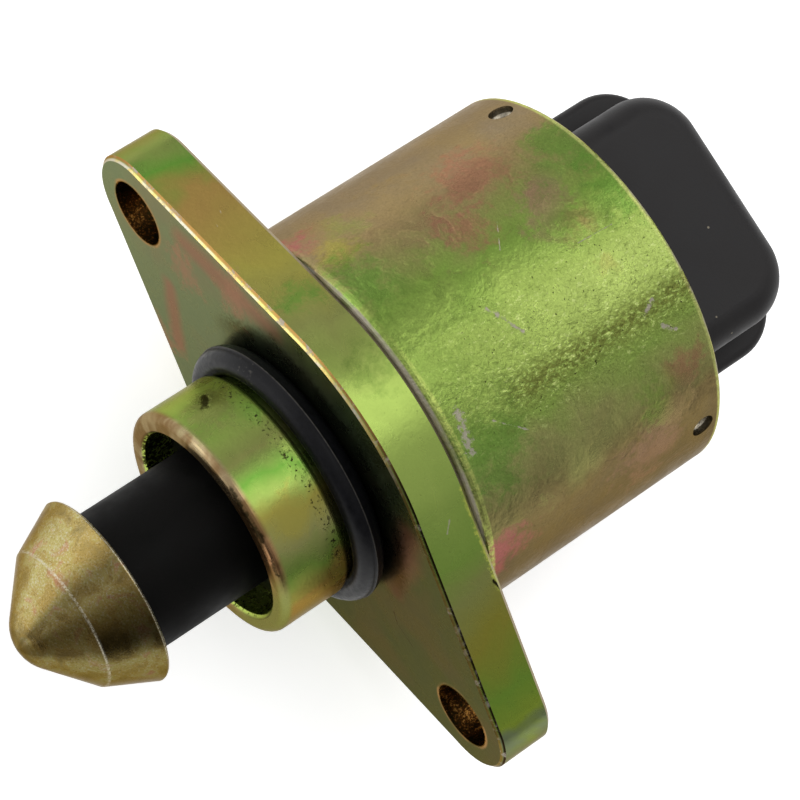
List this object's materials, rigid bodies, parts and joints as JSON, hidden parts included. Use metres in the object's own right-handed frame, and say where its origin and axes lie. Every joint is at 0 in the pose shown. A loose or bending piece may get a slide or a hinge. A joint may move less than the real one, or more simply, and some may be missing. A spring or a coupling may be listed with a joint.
{
  "type": "idle air control valve",
  "caption": "Stepper-driven idle air valve: plated can and flange with a spigot, O-ring seal, sliding cone pintle and side-facing blade connector.",
  "frame": {"origin": "centre of the flange's mounting face, on the valve's axis", "axes": "-Y along the valve's axis towards the pintle's tip, X through both bolt holes, -Z out of the connector's mouth"},
  "size_m": [0.0602, 0.0731, 0.036],
  "materials": {
    "plated_steel": "yellow passivated zinc, semi gloss, with green and pink tints",
    "plated_cone": "yellow passivated zinc, mottled and worn at the ridges",
    "moulded_black": "fine matte moulding",
    "sleeve_black": "matte moulding",
    "seal_rubber": "satin rubber",
    "tinned_brass": "bright tin over brass",
    "brass": "turned brass",
    "bronze": "sintered bronze",
    "bearing_steel": "ground steel",
    "hub_plastic": "plain moulding",
    "ferrite": "dark ferrite",
    "pole_sheet": "pressed zinc plated sheet",
    "bobbin_plastic": "plain moulding",
    "copper_wire": "enamelled wire"
  },
  "bodies": {
    "housing": {"mounting_flange": "plated_steel", "motor_can": "plated_steel", "connector_body": "moulded_black", "terminal_1": "tinned_brass", "terminal_2": "tinned_brass", "terminal_3": "tinned_brass", "terminal_4": "tinned_brass", "flange_o_ring": "seal_rubber", "guide_bush": "sleeve_black", "bearing_outer_race": "bearing_steel", "rear_bush": "bronze", "preload_washer": "bearing_steel", "front_coil_front_pole": "pole_sheet", "front_coil_rear_pole": "pole_sheet", "rear_coil_front_pole": "pole_sheet", "rear_coil_rear_pole": "pole_sheet", "front_bobbin": "bobbin_plastic", "rear_bobbin": "bobbin_plastic", "front_coil": "copper_wire", "rear_coil": "copper_wire"},
    "rotor": {"rotor_magnet": "ferrite", "rotor_hub": "hub_plastic", "lead_screw": "bearing_steel", "bearing_inner_race": "bearing_steel"},
    "pintle": {"pintle_sleeve": "sleeve_black", "pintle_nut": "brass", "valve_cone": "plated_cone"},
    "ball_cage": {"bearing_balls": "bearing_steel", "bearing_cage": "brass"}
  },
  "joints": [
    {"name": "rotor_spin", "type": "hinge", "parent": "housing", "child": "rotor", "pos_m": [0, 0.02, 0], "axis": [0, -1, 0], "range_deg": [-2880, 360]},
    {"name": "pintle_slide", "type": "slide", "parent": "housing", "child": "pintle", "axis": [0, -1, 0], "range_m": [-0.008, 0.001]},
    {"name": "cage_spin", "type": "hinge", "parent": "housing", "child": "ball_cage", "pos_m": [0, 0.00985, 0], "axis": [0, -1, 0], "range_deg": [-1120, 140]}
  ],
  "couplings": [
    {"joint": "pintle_slide", "follows": "rotor_spin", "m_per_rad": 0.00015915},
    {"joint": "cage_spin", "follows": "rotor_spin", "ratio": 0.3867}
  ]
}
